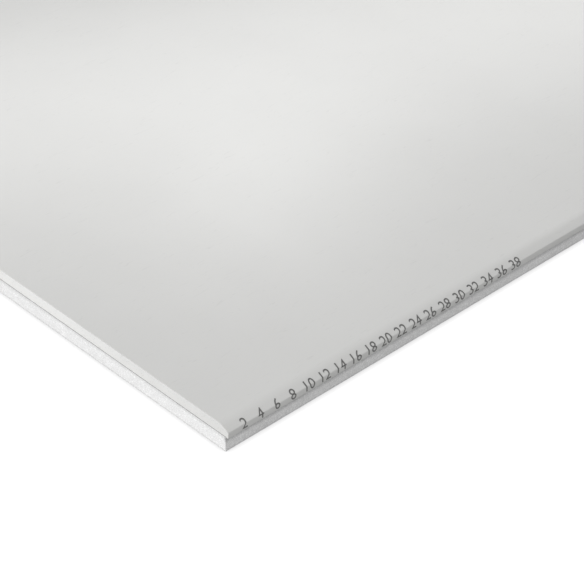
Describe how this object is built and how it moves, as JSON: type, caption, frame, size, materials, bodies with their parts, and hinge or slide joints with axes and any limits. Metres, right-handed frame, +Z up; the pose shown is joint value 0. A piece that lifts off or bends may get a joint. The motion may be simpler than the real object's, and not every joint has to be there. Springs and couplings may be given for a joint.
{
  "type": "foam-backed drywall sheet",
  "caption": "Foam-backed drywall sheet: a paper-lined gypsum board with half-round long edges, its back glued to a square-cut slab of white bead foam; lies flat.",
  "frame": {"origin": "centre of the foam's underside, on the floor", "axes": "+X along the length, +Y across the width, +Z up from the foam to the paper-lined face"},
  "size_m": [2.5, 1.25, 0.0295],
  "materials": {
    "paper_lined_gypsum": "matte",
    "bead_foam": "matte"
  },
  "bodies": {
    "root": {"gypsum_board": "paper_lined_gypsum", "foam_backing": "bead_foam"}
  },
  "joints": []
}
